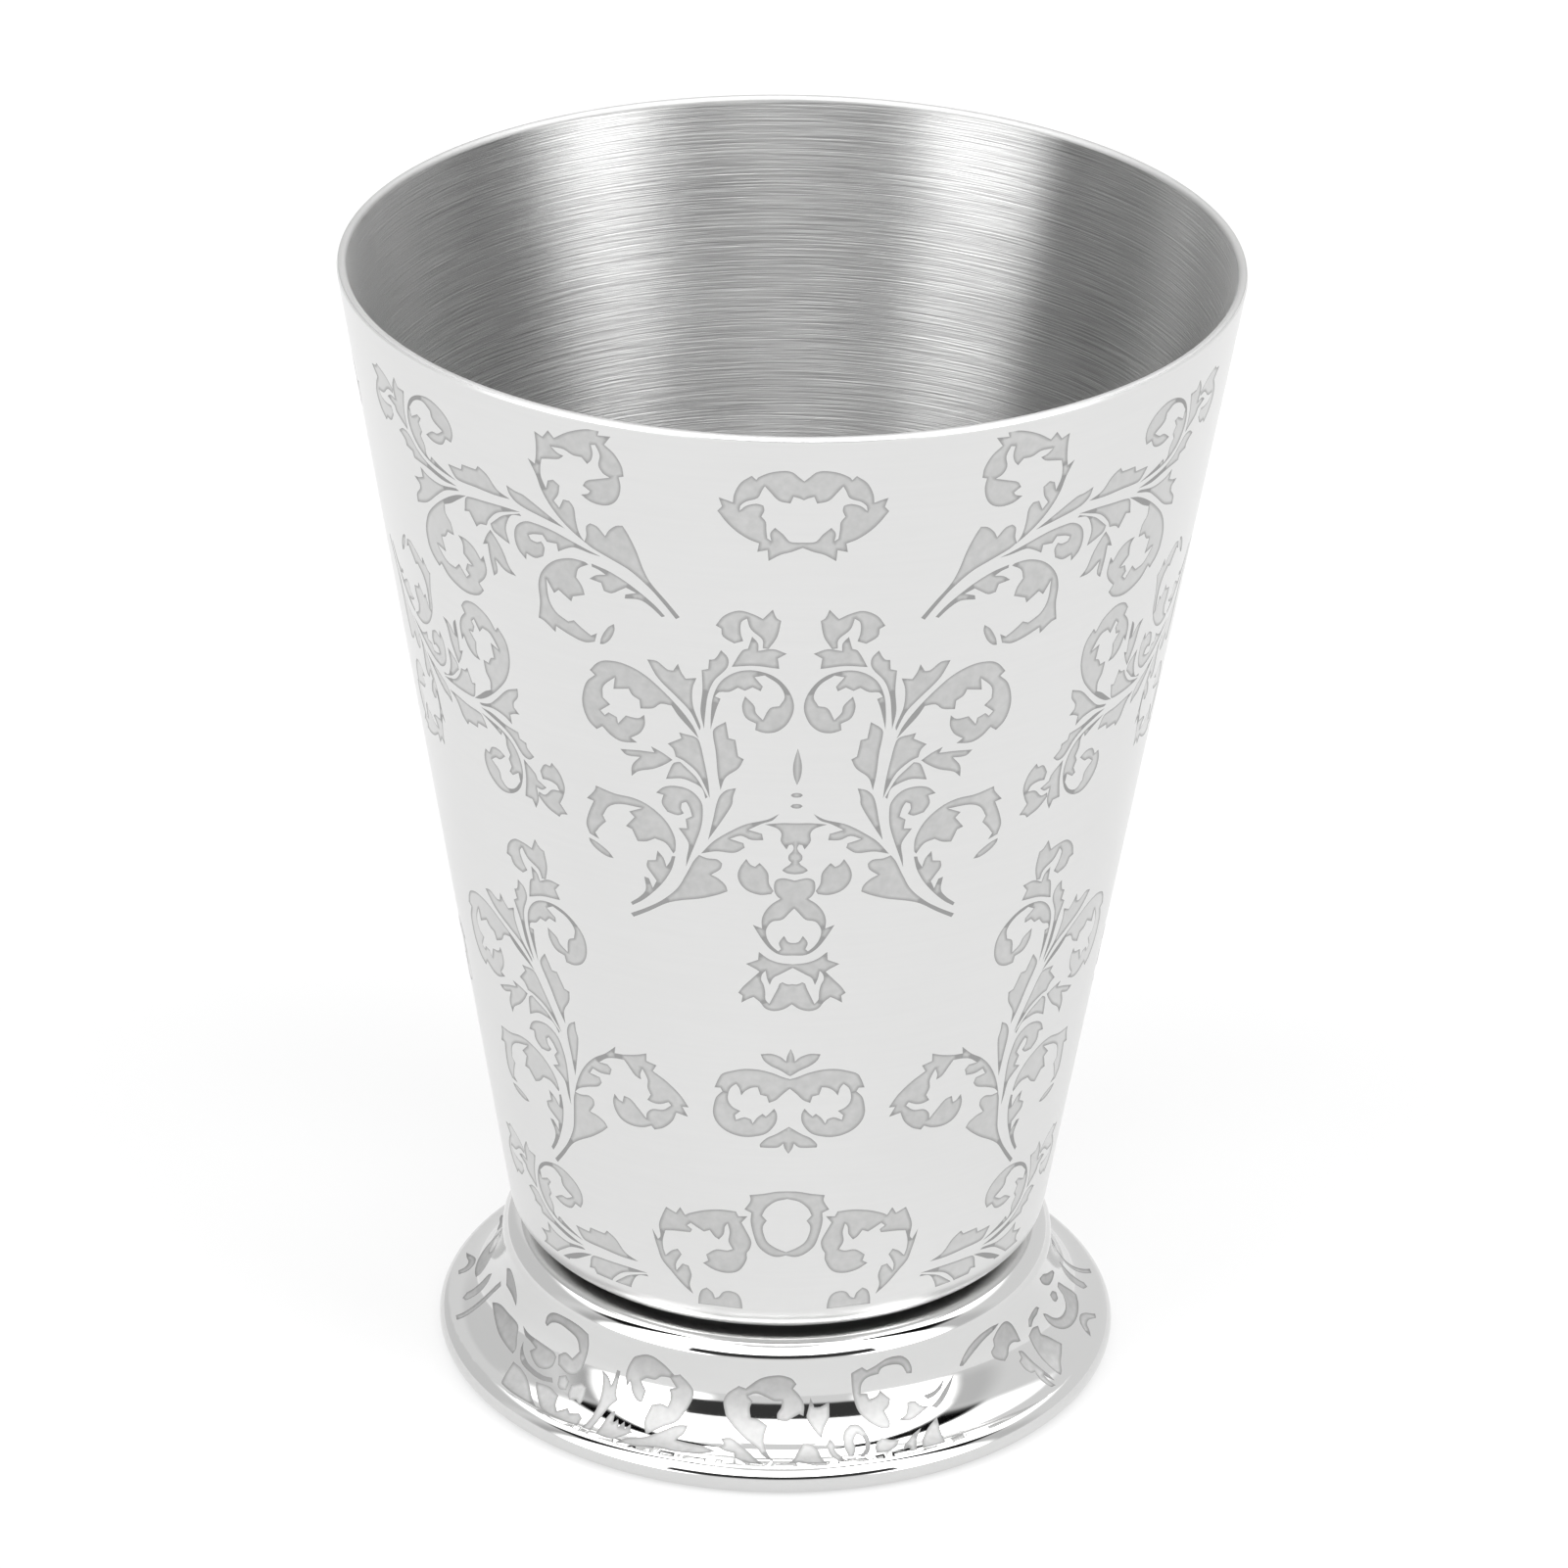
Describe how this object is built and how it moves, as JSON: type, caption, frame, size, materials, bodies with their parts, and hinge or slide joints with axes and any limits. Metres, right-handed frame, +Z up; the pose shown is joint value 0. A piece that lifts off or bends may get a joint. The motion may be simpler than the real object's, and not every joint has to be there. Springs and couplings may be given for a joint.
{
  "type": "footed julep cup",
  "caption": "Tapered stainless steel drinking cup with straight flaring wall, etched scroll ornament, polished rim and a flared hollow foot, for a cold drink held without a handle.",
  "frame": {"origin": "centre of the circle that the foot stands on", "axes": "+Z up along the cup's axis, -Y towards the ornament's centre that faces the picture's viewer"},
  "size_m": [0.083, 0.083, 0.1123],
  "materials": {
    "satin_steel": "satin outside with etched scroll ornament, turned brushing inside, polished rim",
    "polished_steel": "mirror polished with etched scroll ornament",
    "braze": "dull brazed seam"
  },
  "bodies": {
    "root": {"cup_body": "satin_steel", "foot": "polished_steel", "braze_ring": "braze"}
  },
  "joints": []
}
